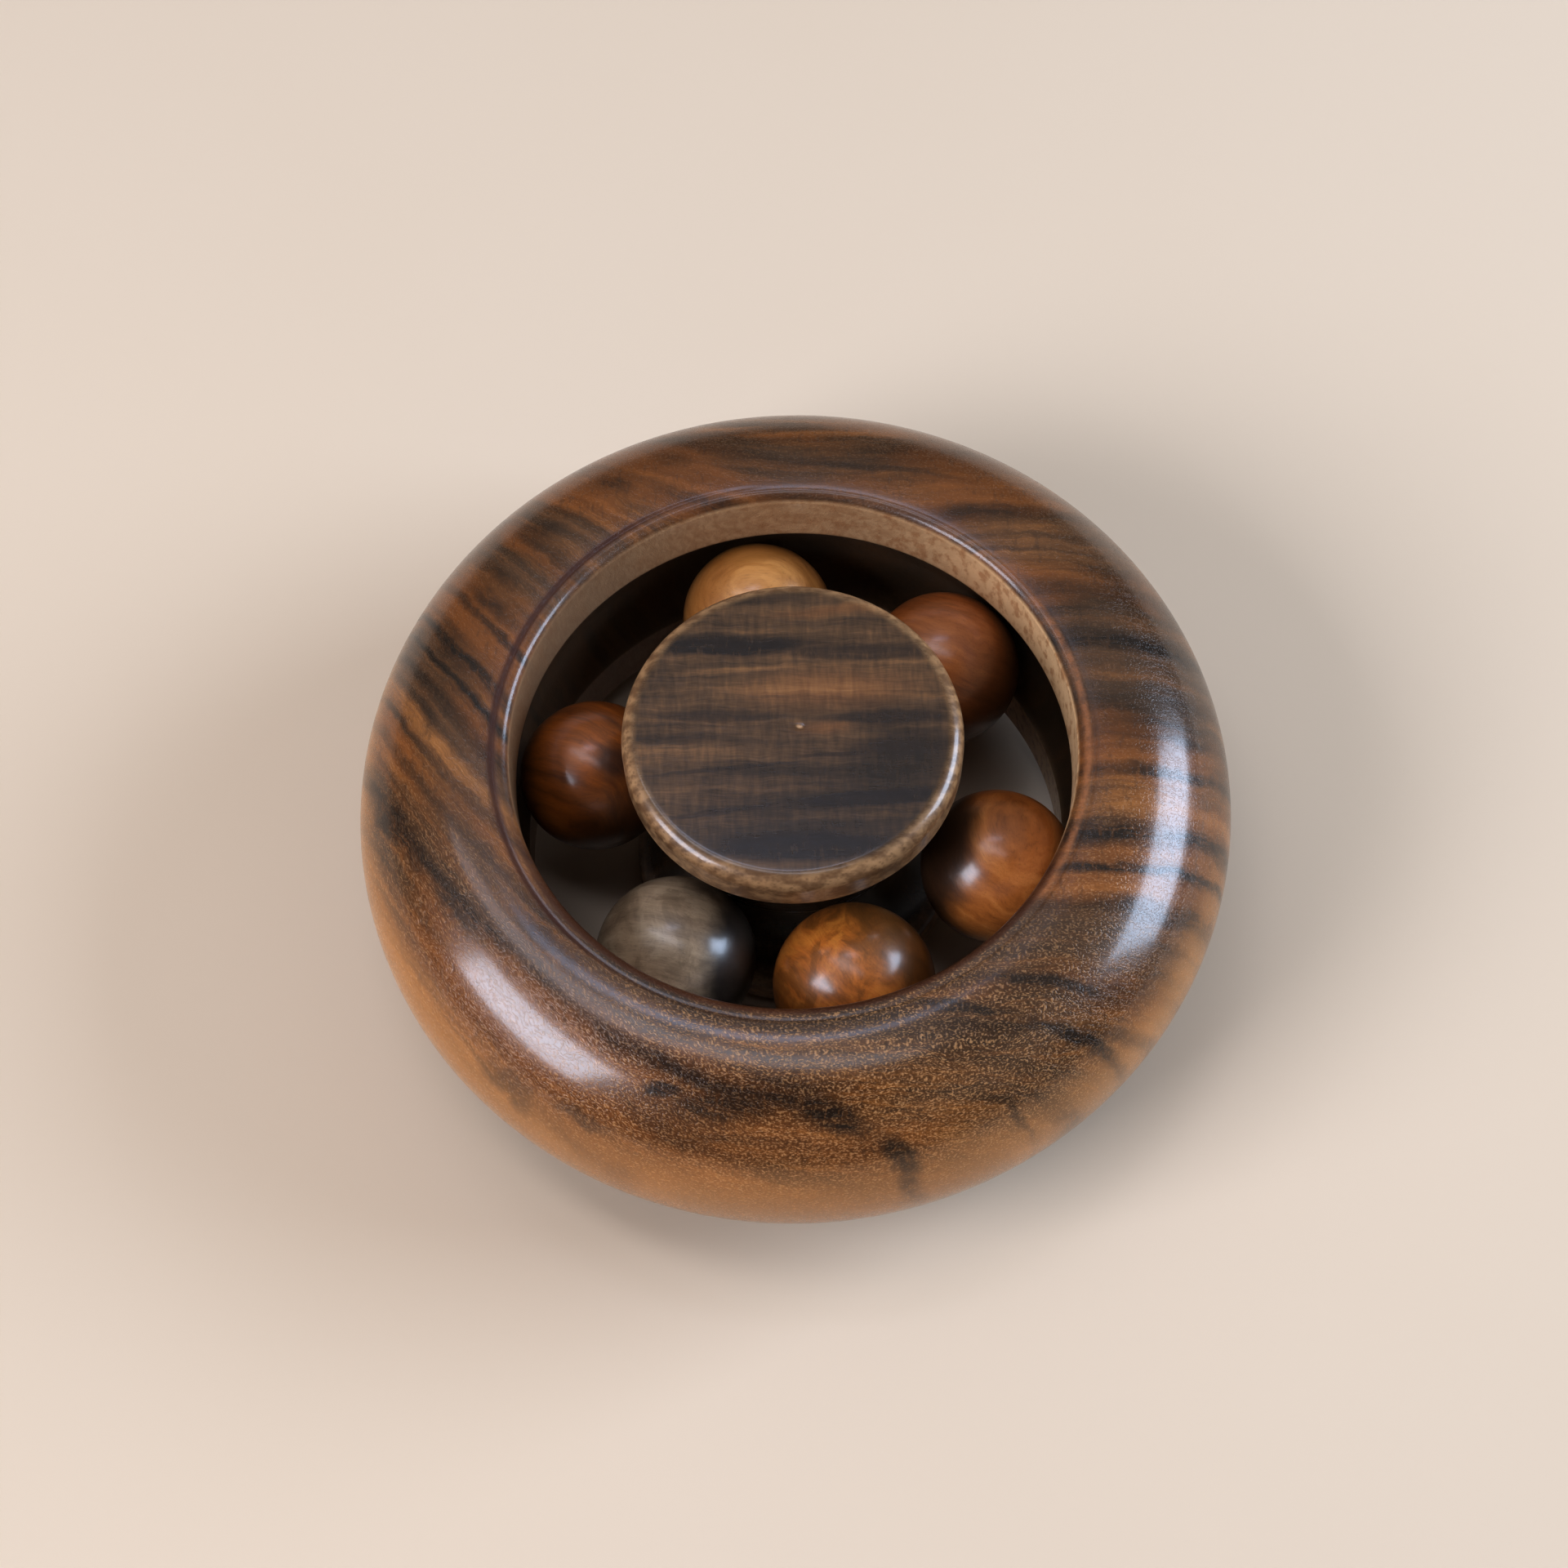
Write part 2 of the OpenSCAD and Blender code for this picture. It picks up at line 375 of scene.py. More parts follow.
    # smudges with no edge of their own, round the far left
    smudge = streaks(q, flat, [
        (-21.0, 7.2, -62, 5.2, 1.5, 0.85), (-18.9, 10.6, -52, 4.2, 1.3, 0.80), (-18.4, 12.8, -45, 3.0, 0.9, 0.65),
        (-15.6, 16.2, -32, 3.2, 1.5, 0.75), (-11.0, 19.4, -36, 2.4, 1.3, 0.70), (-24.0, 9.5, -66, 3.4, 1.1, 0.60),
        (-21.8, 14.6, -50, 3.0, 0.9, 0.55), (-18.2, 18.6, -42, 3.4, 1.0, 0.55), (-13.8, 22.2, -28, 3.6, 1.1, 0.60),
        (-22.6, 3.0, -70, 2.6, 0.8, 0.55), (-7.2, 21.0, -18, 3.0, 1.0, 0.50), (-5.0, 25.2, -8, 5.0, 1.0, 0.50)], soft=0.0)
    marks = q.m("MAXIMUM", marks, smudge)
    marks = q.mul(marks, top)
    dark = q.m("MAXIMUM", layers, marks)
    thin = q.mul(q.mul(q.span(s2, 0.60, 0.74, 0.0, 0.26), q.span(s3, 0.35, 0.6, 0.3, 1.0)), q.sub(1.0, q.mul(soft_side, 0.8)))
    dark = q.m("MAXIMUM", dark, thin)
    # fibres and short cross ticks break the dark layers up
    tick = q.noise(q.stretch((x, y, z), (3.2, 0.9, 1.5), (7.0, 2.0, 4.0)), 1.0, 2.0, 0.6)
    dark = q.mul(dark, q.mul(q.span(s3, 0.30, 0.55, 0.60, 1.0), q.span(tick, 0.70, 0.52, 0.72, 1.0)))
    color = q.mix(dark, color, DARK)
    # short ticks across the layers
    color = q.mix(q.span(tick, 0.44, 0.30, 0.0, 0.30), color, lin(44, 32, 26))
    # pores: short pale dashes, dense on the near side
    dense = zones(q, later, [(2, -25, 0, 30, 18, 0.75), (-22, -10, -60, 16, 8, 0.25), (20, -10, 60, 12, 7, 0.2)], 0.05)
    color = q.mix(q.mul(dense, q.sub(0.24, q.mul(dark, 0.16))), color, lin(88, 62, 36))
    fn = q.noise(q.stretch((x, g, z), (6.0, 10.5, 10.5), (3.0, 8.0, 1.0)), 1.0, 1.0, 0.5)
    fl = q.span(fn, 0.48, 0.70)
    over = q.mul(q.m("MINIMUM", dense, 0.50), q.sub(1.0, q.mul(dark, 0.84)))
    color = q.mix(q.mul(fl, over), color, lin(198, 150, 100))
    color = q.mix(q.mul(q.span(fn, 0.50, 0.34), q.mul(dense, 0.50)), color, lin(46, 30, 18))
    # the wall inside the lip, over the lip's rounding too, is painted paler: painted light from above and painted
    # reflection of the pale surroundings; the brown specks are the wood's own
    ca, sa = q.m("DIVIDE", x, R), q.m("DIVIDE", y, R)
    near = q.mul(q.span(sa, -0.10, -0.60), q.span(ca, 0.97, 0.85))
    inner = q.mul(q.span(R, q.span(ca, 0.0, -0.6, 17.98, 18.10), q.span(ca, 0.0, -0.6, 18.20, 18.30), 1.0, 0.0),
                  q.mul(q.span(az, 3.5, 4.3), q.span(az, 7.95, 7.60)))
    wall = q.mix(q.span(s3, 0.30, 0.70), lin(182, 142, 104), lin(204, 166, 126))
    speck = q.noise(q.stretch((x, y, z), (1.6, 1.6, 1.0), (2.0, 4.0, 4.0)), 1.0, 3.0, 0.6)
    # painted light: the wall lighter towards the right
    wall = q.mix(q.span(ca, 0.30, 0.92), wall, lin(224, 186, 142))
    wall = q.mix(q.mul(q.span(speck, 0.46, 0.66, 0.0, 0.62), q.span(ca, -0.3, 0.9, 0.45, 1.0)), wall, lin(158, 104, 62))
    # painted shade: the wall darker towards the left
    wall = q.mix(q.span(ca, -0.2, -0.8, 0.0, 0.65), wall, lin(128, 100, 78))
    color = q.mix(q.mul(q.mul(inner, 0.85), q.sub(1.0, q.mul(near, q.span(az, 6.8, 7.3)))), color, wall)
    # raceway: unpolished and rougher, and painted dark as the shade inside the groove
    race = q.mul(q.span(az, 4.15, 3.9, 0.0, 1.0), q.span(R, 19.2, 19.0, 0.0, 1.0))
    color = q.mix(q.mul(race, 0.75), color, lin(66, 48, 28))
    # the near part of the lip is painted dark, painted shade on its rounding, and a soft red-brown line runs outside it
    lip = q.mul(q.mul(q.span(R, 18.30, 18.10, 0.0, 0.80), q.span(az, 7.0, 7.4)), near)
    color = q.mix(lip, color, lin(66, 34, 20))
    line = q.span(q.m("ABSOLUTE", q.sub(R, 18.66)), 0.06, q.span(sa, -0.2, -0.8, 0.42, 0.26), 1.0, 0.0)
    line = q.mul(q.mul(line, q.span(az, 7.0, 8.0)), q.mul(q.span(ca, 0.35, -0.35, 0.10, 0.85), q.mul(q.span(sa, 0.98, 0.80, 0.25, 1.0), q.span(sa, -0.95, -0.6, 0.25, 1.0))))
    color = q.mix(line, color, lin(56, 22, 14))
    edge = q.mul(q.span(q.m("ABSOLUTE", q.sub(R, 18.22)), 0.05, 0.36, 0.46, 0.0), q.mul(q.span(ca, 0.70, 0.94), q.span(az, 7.0, 8.0)))
    edge = q.mul(edge, q.span(speck, 0.38, 0.58, 0.45, 1.0))
    color = q.mix(edge, color, lin(166, 104, 58))
    # the outer edge on the near side is painted paler and more golden: painted warm light bounced up from the floor
    lit_outer_edge = q.mul(q.mul(q.span(R, 26.0, 28.0), q.span(g, -4.0, -14.0)), q.sub(1.0, q.mul(dark, 0.7)))
    color = q.mix(q.mul(lit_outer_edge, 0.50), color, lin(202, 138, 72))
    rough = q.add(0.17, q.mul(s4, 0.12))
    rough = q.add(rough, q.mul(fl, 0.05))
    rough = q.add(rough, q.mul(race, 0.35))
    lip_soft = q.mul(q.span(R, 19.1, 18.7), q.span(az, 3.5, 4.5))
    rough = q.add(rough, q.mul(lip_soft, 0.14))
    height = q.add(q.mul(s4, 0.5), q.mul(fl, 0.9))
    return q.finish(color, rough, height, bump_mm=0.010, coat=0.46, coat_rough=0.13, spec=0.42)


def hub_material():
    q = Mat("hub_wood")
    P = q.mm()
    x, y, z = q.sep(P)
    R = q.m("SQRT", q.add(q.mul(x, x), q.mul(y, y)))
    w2 = q.noise(q.stretch((x, y, z), (0.30, 0.70, 0.60), (1.3, 9.0, 2.2)), 1.0, 2.0)
    w3 = q.noise(q.stretch((x, y, z), (0.9, 3.0, 2.0), (4.0, 1.0, 3.0)), 1.0, 2.0)
    ys = q.add(y, q.add(q.mul(q.sub(w2, 0.5), 0.7), q.mul(q.sub(w3, 0.5), 0.25)))
    g = q.add(q.add(ys, q.mul(x, 0.03)), q.mul(q.sub(z, 9.6), 0.12))
    flat = q.vec(q.add(x, q.mul(q.sub(w2, 0.5), 1.0)), ys, 0.0)
    t, s1, s2, s3, s4 = striped(q, (x, y, z), g, 11.0, 0.45, 0.40, 0.28, 0.22)
    cross = q.noise(q.stretch((x, y, z), (3.0, 0.55, 1.0), (2.0, 5.0, 1.0)), 1.0, 2.0, 0.6)
    t = q.add(t, q.mul(q.sub(cross, 0.5), 0.32))
    tone = zones(q, flat, [
        (0.5, 3.0, 0, 11, 1.9, 0.16), (2.5, 2.7, 0, 6, 1.6, 0.08), (3.0, 8.0, 3, 7, 1.4, 0.06), (-3.5, 4.25, 1, 6, 0.40, 0.20),
        (-5, -1.2, 0, 7, 2.6, 0.03), (7, -1.3, 0, 4, 2.2, -0.12), (0, -6.3, 0, 9, 0.9, 0.04), (2.0, 0.0, 0, 2.4, 0.6, 0.14),
        (-1, -4.0, 0, 8, 1.1, 0.06), (1, -5.4, 0, 12, 6.0, -0.16), (6.5, -3.0, 0, 6, 2.6, -0.14)], 0.35)
    tone = q.add(tone, t)
    warm = [(0.00, lin(32, 25, 20)), (0.22, lin(56, 41, 29)), (0.40, lin(84, 61, 41)), (0.56, lin(112, 80, 51)),
            (0.72, lin(140, 102, 65)), (0.90, lin(172, 130, 86))]
    color = q.ramp(tone, warm)
    orange = zones(q, flat, [(2.5, 2.7, 0, 8, 2.2, 0.55), (2.0, 0.0, 0, 2.6, 0.8, 0.5), (3.0, 8.3, 3, 6, 0.6, 0.5)], 0.0)
    color = q.mix(q.mul(orange, 0.5), color, lin(124, 74, 36))
    marks = streaks(q, flat, [
        (-3.8, 5.95, -2, 7.0, 1.05, 1.0), (4.2, 5.2, -2, 7.0, 0.75, 0.75), (-4.5, 1.05, -1, 6.0, 0.55, 0.70),
        (6.0, 0.55, -1, 5.5, 0.70, 0.80), (7.2, -1.3, 2, 4.5, 1.2, 0.60), (-4.0, -2.6, 4, 6.5, 0.20, 0.60),
        (4.5, -1.7, 3, 6.0, 0.20, 0.65), (4.6, -4.95, 2, 6.6, 0.75, 1.0), (-4.6, -5.5, 5, 5.0, 0.28, 0.60),
        (0.4, -8.0, 0, 8.2, 1.35, 1.0), (-1.5, 9.4, 0, 4.0, 0.60, 0.45), (-7.0, -0.4, 0, 3.5, 0.5, 0.35)], soft=0.45)
    side = banded(q, g, [(9.2, 0.4, 0.5), (5.8, 0.9, 0.85), (1.0, 0.5, 0.7), (-1.3, 0.6, 0.6), (-5.2, 0.6, 0.9), (-8.0, 1.1, 0.95)], -14.0, 14.0)
    on_top = q.mul(q.span(z, 9.0, 9.5), q.span(R, 10.0, 9.4))
    dark = q.add(side, q.mul(on_top, q.sub(marks, side)))
    tick = q.noise(q.stretch((x, y, z), (4.2, 1.2, 1.5), (7.0, 2.0, 4.0)), 1.0, 2.0, 0.6)
    dark = q.mul(dark, q.mul(q.span(s3, 0.30, 0.55, 0.70, 1.0), q.span(tick, 0.72, 0.50, 0.70, 1.0)))
    color = q.mix(dark, color, lin(31, 24, 22))
    # the rim is cut across the fibres: paler, with short brown dashes
    rim = q.mul(q.span(R, 9.45, 10.2), q.span(q.m("ABSOLUTE", z), 4.5, 6.5))
    d, c = q.cells(q.stretch((x, y, z), (3.2, 3.2, 5.0)), 1.0)
    blot = q.noise(q.stretch((x, g, z), (0.9, 1.6, 1.2), (2.0, 9.0, 4.0)), 1.0, 3.0, 0.55)
    color = q.mix(q.mul(rim, 0.60), color, q.mix(q.span(blot, 0.34, 0.66), lin(128, 94, 64), lin(190, 150, 108)))
    color = q.mix(q.mul(q.mul(rim, q.span(d, 0.45, 0.15)), 0.42), color, lin(92, 64, 40))
    # a nick in the middle where the lathe's centre stood
    nick = streaks(q, q.vec(x, y, 0.0), [(0.45, 0.12, -20, 0.30, 0.18, 0.8)])
    color = q.mix(q.mul(nick, q.span(z, 9.3, 9.5)), color, lin(176, 140, 104))
    rough = q.add(q.add(0.17, q.mul(s4, 0.12)), q.mul(rim, 0.12))
    height = q.add(q.mul(s4, 0.6), q.mul(cross, 0.3))
    return q.finish(color, rough, height, bump_mm=0.008, coat=0.44, coat_rough=0.115, spec=0.36)


def ball_material(name, centre, turn, stops, scale=1.0, seed=0.0, mottled=0.0, shade_and_band_sides=None, painted_reflection=None):
    """Polished hardwood ball with its own timber, painted shade on one side, and on one ball a painted dark reflection.
    """
    q = Mat(name)
    P = q.mm(turn, centre)
    x, y, z = q.sep(P)
    n1 = q.noise(q.stretch((x, y, z), (0.10, 0.16, 0.16), (seed, 1.0, 2.0)), 1.0, 2.0)
    n2 = q.noise(q.stretch((x, y, z), (0.5, 0.6, 0.6), (seed, 5.0, 2.0)), 1.0, 2.0)
    g = q.add(y, q.add(q.mul(q.sub(n1, 0.5), 3.0), q.mul(q.sub(n2, 0.5), 0.6)))
    s1 = q.noise(q.stretch((x, g, z), (0.06, 0.55 * scale, 0.10), (seed, 0, 0)), 1.0, 3.0, 0.6)
    s2 = q.noise(q.stretch((x, g, z), (0.25, 3.0 * scale, 0.8), (0, seed, 0)), 1.0, 3.0, 0.6)
    s3 = q.noise(q.stretch((x, g, z), (1.4, 12.0, 8.0), (0, 0, seed)), 1.0, 2.0, 0.6)
    color = q.ramp(q.add(q.mul(s1, 0.62), q.mul(s2, 0.38)), stops)
    gx, gy, gz = q.sep(q.mm(None, centre))
    if mottled:
        mo = q.noise(q.stretch((gx, gy, gz), (0.50, 0.36, 0.36), (3.0, seed, 1.0)), 1.0, 4.0, 0.62, 1.0)
        dull, bright = (lin(84, 52, 18), lin(184, 120, 50)) if mottled > 0.3 else (lin(74, 58, 44), lin(176, 156, 130))
        color = q.mix(q.mul(q.span(mo, 0.46, 0.60), mottled), color, dull)
        color = q.mix(q.mul(q.span(mo, 0.47, 0.36), mottled), color, bright)
    # each row darkens or tints one side of the ball: painted shade on the side turned from the light or towards the
    # hub, and on the far ball a brown band of the wood
    for (dx, dy, dz), at, soft, tint, amount in (shade_and_band_sides or []):
        side = q.add(q.add(q.mul(gx, dx), q.mul(gy, dy)), q.mul(gz, dz))
        side = q.add(side, q.mul(q.sub(n2, 0.5), 0.9))
        color = q.mix(q.span(side, at - soft, at + soft, 0.0, amount), color, tint)
    # a round dark patch: painted reflection of the hub's dark side
    if painted_reflection is not None:
        (px, py, pz), rad, soft, tint, amount = painted_reflection
        far = q.vm("LENGTH", q.vm("SUBTRACT", q.vec(gx, gy, gz), (px, py, pz)))
        far = q.add(far, q.mul(q.sub(n2, 0.5), 1.2))
        color = q.mix(q.span(far, rad + soft, rad - soft, 0.0, amount), color, tint)
    color = q.mix(q.span(s3, 0.50, 0.80, 0.0, 0.28), color, lin(34, 20, 10))
    rough = q.add(0.32, q.mul(s3, 0.14))
    return q.finish(color, rough, s3, bump_mm=0.010, coat=0.72, coat_rough=0.21, spec=0.38)


# ---------------------------------------------------------------- meshes

def lathe(name, profile, segments, wobble=None, closed=True, caps=(False, False)):
    """Turned solid from a profile of (radius, height) in mm, counted so that the faces look outwards."""
    prof = np.array(profile, float)
    th = np.linspace(0, 2 * np.pi, segments, endpoint=False)
    n = len(prof)
    R = np.repeat(prof[:, 0][None], segments, 0)
    Z = np.repeat(prof[:, 1][None], segments, 0)
    T = np.repeat(th[:, None], n, 1)
    if wobble is not None:
        dR, dZ = wobble(R, Z, T)
        R, Z = R + dR, Z + dZ
    V = np.stack([R * np.cos(T), R * np.sin(T), Z + MID], -1).reshape(-1, 3) * MM
    verts = V.tolist()
    faces = []
    last = n if closed else n - 1
    for i in range(segments):
        j = (i + 1) % segments
        for k in range(last):
            k2 = (k + 1) % n
            faces.append((i * n + k, j * n + k, j * n + k2, i * n + k2))
    if caps[0]:
        c = len(verts); verts.append((0, 0, float((prof[0, 1] + MID) * MM)))
        for i in range(segments):
            faces.append((c, ((i + 1) % segments) * n, i * n))
    if caps[1]:
        c = len(verts); verts.append((0, 0, float((prof[-1, 1] + MID) * MM)))
        for i in range(segments):
            faces.append((c, i * n + n - 1, ((i + 1) % segments) * n + n - 1))
    me = bpy.data.meshes.new(name)
    me.from_pydata(verts, [], faces)
    me.validate()
    me.update()
    me.shade_smooth()
    o = bpy.data.objects.new(name, me)
    scene.collection.objects.link(o)
    return o


def arc(cx, cy, r, a0, a1, n):
    a = np.radians(np.linspace(a0, a1, n))
    return [(cx + r * math.cos(t), cy + r * math.sin(t)) for t in a]


def ring_profile():
    sc, sr = 19.67, 8.33
    mouth, half, rmax = 17.55, 3.97, 18.9
    race = (half * half + 1.35 * 1.35) / (2 * 1.35)
    rc = rmax - race
    lx, lr = 18.36, 0.75
    lz = math.sqrt(sr * sr - (sc - lx) ** 2) - lr
    top = []                                         # from the deepest point of the raceway up and out
    a_m = math.degrees(math.atan2(half, mouth - rc))
    top += arc(rc, 0, race, 0, a_m - 1.2, 18)
    # edge of the mouth, just broken
    top += [(mouth + 0.045, half - 0.03), (mouth + 0.012, half + 0.03), (mouth + 0.004, half + 0.10)]
    for t in np.linspace(0.08, 1.0, 14):
        top.append((mouth + 0.06 * t, half + (lz - half) * t))
    top += arc(lx, lz, lr, 178, 92, 16)
    # up to the fine line, the line itself, and on along the round section
    def on(r): return math.sqrt(sr * sr - (sc - r) ** 2)
    for r, dip in ((18.40, 0), (18.45, 0.006), (18.49, 0.018), (18.53, 0.034), (18.57, 0.046), (18.61, 0.050),
                   (18.65, 0.046), (18.70, 0.034), (18.75, 0.018), (18.80, 0.006), (18.86, 0)):
        top.append((r, on(r) - dip))
    a0 = math.degrees(math.acos((18.92 - sc) / sr))
    top += arc(sc, 0, sr, a0, 0, 84)
    bottom = [(r, -z) for r, z in reversed(top[1:-1])]
    return (top + bottom)[::-1]                      # counter-clockwise, so that the faces look outwards


def ring_wobble(R, Z, T):
    a = 0.5 * (1 - np.cos(T * 3 + 0.7)) * 0.5 + 0.5 * (1 - np.cos(T * 5 + 2.1)) * 0.3 + 0.5 * (1 - np.cos(2 * T + 4.0)) * 0.4
    out = np.clip((R - 19.4) / 8.0, 0, 1)
    top = np.clip(np.abs(Z) / 8.3, 0, 1)
    # the fine line outside the lip fades out on the far right
    line = np.where((np.abs(Z) > 7.9) & (R > 18.41) & (R < 18.87), np.sqrt(8.33 ** 2 - (19.67 - R) ** 2) - np.abs(Z), 0.0)
    fill = np.clip((np.cos(T - math.radians(62)) - 0.45) / 0.40, 0, 1)
    return -0.05 * a * out, -np.sign(Z) * 0.02 * a * top + np.sign(Z) * line * fill


def hub_profile():
    neck, cove, cap, half, edge = 8.1, 10.8, 10.58, 9.6, 1.05
    cx = neck + cove
    zc = math.sqrt(cove ** 2 - (cx - cap) ** 2)
    # the blind hole for the dowel, 0.03 mm of glue gap round it, then the face that the two halves share
    hole, deep = 3.53, 6.3
    p = [(0.6, deep), (2.2, deep), (hole - 0.08, deep), (hole - 0.012, deep - 0.012), (hole, deep - 0.08)]
    for z in np.linspace(deep - 0.6, 0.6, 7):
        p.append((hole, float(z)))
    p += [(hole, 0.08), (hole + 0.012, 0.012), (hole + 0.08, 0.0), (5.0, 0.0), (6.5, 0.0), (7.6, 0.0)]
    p += [(neck - 0.10, 0.0), (neck - 0.02, 0.03), (neck, 0.09)]
    for t in np.linspace(0.04, 0.985, 34):
        z = zc * t
        p.append((cx - math.sqrt(cove ** 2 - z ** 2), z))
    p += [(cap - 0.05, zc - 0.02), (cap - 0.012, zc + 0.03), (cap, zc + 0.10)]
    for t in np.linspace(0.12, 1.0, 8):
        p.append((cap, zc + (half - edge - zc) * t))
    p += arc(cap - edge, half - edge, edge, 4, 90, 20)
    for r in np.linspace(9.3, 1.4, 34):
        p.append((float(r), half))
    for r in np.linspace(1.35, 0.05, 27):
        p.append((float(r), half))
    return p


def hub_wobble(R, Z, T):
    a = 0.5 * (1 - np.cos(T * 2 + 1.1)) * 0.6 + 0.5 * (1 - np.cos(T * 3 + 0.4)) * 0.4
    out = np.clip((R - 9.4) / 1.0, 0, 1)
    # the little dent the lathe's centre left in the middle of the cap
    x, y = R * np.cos(T), R * np.sin(T)
    d = np.hypot(x - 0.45, (y - 0.10) * 1.4)
    dent = 0.07 * np.exp(-(d / 0.20) ** 2) * (np.abs(Z) > 9.5)
    return -0.03 * a * out, -np.sign(Z) * dent


BALLS = [   # name, angle, size against 10 mm, place between the races
    ("ball_left", 170.8, 0.97, 0.00), ("ball_far", 98.6, 1.01, 0.72), ("ball_upper_right", 42.3, 1.01, 0.83),
    ("ball_lower_right", 337.2, 0.98, 0.95), ("ball_near", 284.3, 1.02, 0.50), ("ball_lower_left", 234.3, 1.01, 0.07)]


def ball_place(row):
    _, a, s, f = row
    r = 5.0 * s
    play = 18.9 - 8.1 - 2 * r - 0.28
    d = 8.1 + r + 0.14 + f * play
    return (d * math.cos(math.radians(a)), d * math.sin(math.radians(a)), MID), r


def ball_mesh(name, centre, r, seed, n=44):
    """A ball from six curved square patches, very slightly out of round."""
    rnd = np.random.RandomState(seed)
    t = np.tan(np.linspace(-math.pi / 4, math.pi / 4, n + 1))
    verts, faces, index = [], [], {}
    axes = [np.eye(3)[[0, 1, 2]], np.eye(3)[[1, 2, 0]], np.eye(3)[[2, 0, 1]]]
    def vid(p):
        key = tuple(np.round(p, 6))
        if key not in index:
            index[key] = len(verts)
            verts.append(p / np.linalg.norm(p))
        return index[key]
    for a in axes:
        for s in (1.0, -1.0):
            g = [[vid(s * a[0] + u * a[1] + v * a[2]) for v in t] for u in t]
            for i in range(n):
                for j in range(n):
                    f = (g[i][j], g[i + 1][j], g[i + 1][j + 1], g[i][j + 1])
                    faces.append(f if s > 0 else f[::-1])
    V = np.array(verts)
    off = np.zeros(len(V))
    for k in (2.0, 3.0, 5.0):
        d = rnd.normal(size=3); d /= np.linalg.norm(d)
        off += 0.5 * (1 + np.cos(k * (V @ d) * math.pi + rnd.rand() * 6)) / k
    V = V * (r - 0.03 * off[:, None] / off.max()) + np.array(centre)
    me = bpy.data.meshes.new(name)
    me.from_pydata((V * MM).tolist(), [], faces)
    me.validate()
    me.update()
    me.shade_smooth()
    o = bpy.data.objects.new(name, me)
    scene.collection.objects.link(o)
    return o


def dowel_mesh():
    """Straight dowel with broken ends and pressed flutes for the glue."""
    r, half, ch = 3.5, 6.0, 0.5
    p = [(0.4, -half), (1.6, -half), (r - ch, -half)]
    p += [(r - ch * 0.5, -half + ch * 0.5), (r, -half + ch)]
    for z in np.linspace(-half + ch + 0.3, half - ch - 0.3, 24):
        p.append((r, float(z)))
    p += [(r, half - ch), (r - ch * 0.5, half - ch * 0.5), (r - ch, half), (1.6, half), (0.4, half)]
    def flutes(R, Z, T):
        k = (R > 3.3) * np.clip((5.6 - np.abs(Z)) / 0.6, 0, 1)
        c = 0.5 * (1 + np.cos(T * 24))
        return -0.10 * k * c ** 6, 0 * Z
    return lathe("dowel_fluted", p, 192, flutes, closed=False, caps=(True, True))


def give(o, mat):
    o.data.materials.clear()
    o.data.materials.append(mat)


ring = lathe("ring_turned", ring_profile(), 328, ring_wobble)
give(ring, ring_material())
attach(ring, "ring"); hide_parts("ring")

hub_mat = hub_material()
for side, node in ((1, "hub_upper_half"), (-1, "hub_lower_half")):
    prof = hub_profile()
    if side < 0:
        prof = [(r, -z) for r, z in reversed(prof)]
    o = lathe(node + "_turned", prof, 256, hub_wobble, closed=False, caps=(True, True))
    give(o, hub_mat)
    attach(o, "hub"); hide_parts(node)

WOODS = {
    "ball_left": dict(
        turn=(20, 10, 35), seed=1.0,
        stops=[(0.36, lin(86, 44, 14)), (0.48, lin(120, 65, 21)), (0.58, lin(146, 81, 27)), (0.70, lin(168, 97, 36))],
        # painted shade, darker towards the lower right and the bottom
        shade_and_band_sides=[((0.70, -0.55, -0.45), 1.0, 2.0, lin(76, 46, 26), 0.75)],
        # painted dark reflection of the hub, on the side towards it
        painted_reflection=((1.5, -1.3, 4.4), 1.2, 0.7, lin(52, 32, 24), 0.85)),
    "ball_far": dict(
        turn=(90, 0, 0), seed=2.0,
        stops=[(0.36, lin(128, 82, 38)), (0.50, lin(162, 111, 58)), (0.66, lin(186, 135, 78))],
        shade_and_band_sides=[((-0.10, 0.88, 0.45), 3.55, 0.34, lin(142, 94, 42), 0.80), ((-0.80, 0.10, 0.55), 4.1, 0.8, lin(132, 84, 40), 0.6)]),
    "ball_upper_right": dict(
        turn=(0, 30, 20), seed=3.0,
        stops=[(0.36, lin(116, 66, 30)), (0.50, lin(152, 88, 42)), (0.66, lin(178, 110, 56))],
        # painted shade towards the lower right
        shade_and_band_sides=[((0.80, -0.45, -0.35), 1.6, 2.0, lin(84, 50, 24), 0.85)]),
    "ball_lower_right": dict(
        turn=(0, 70, 80), seed=4.0,
        stops=[(0.36, lin(128, 74, 32)), (0.50, lin(162, 99, 46)), (0.66, lin(190, 127, 68))],
        # painted shade on the left, the side towards the hub
        shade_and_band_sides=[((-0.95, 0.15, 0.27), 2.75, 0.75, lin(56, 37, 24), 0.92)]),
    "ball_near": dict(
        turn=(10, 40, 60), seed=5.0, mottled=0.50,
        stops=[(0.36, lin(134, 78, 28)), (0.50, lin(166, 98, 38)), (0.66, lin(190, 124, 58))],
        # darker on the right: partly the wood's figure, partly painted shade
        shade_and_band_sides=[((0.85, 0.40, 0.35), 2.9, 1.3, lin(84, 54, 24), 0.80)]),
    "ball_lower_left": dict(
        turn=(0, 20, 10), seed=6.0, mottled=0.30,
        stops=[(0.36, lin(126, 107, 87)), (0.50, lin(150, 129, 105)), (0.66, lin(172, 152, 126))],
        # painted shade, near black on the right
        shade_and_band_sides=[((0.97, -0.20, -0.05), 2.3, 0.9, lin(28, 23, 21), 0.94)]),
}
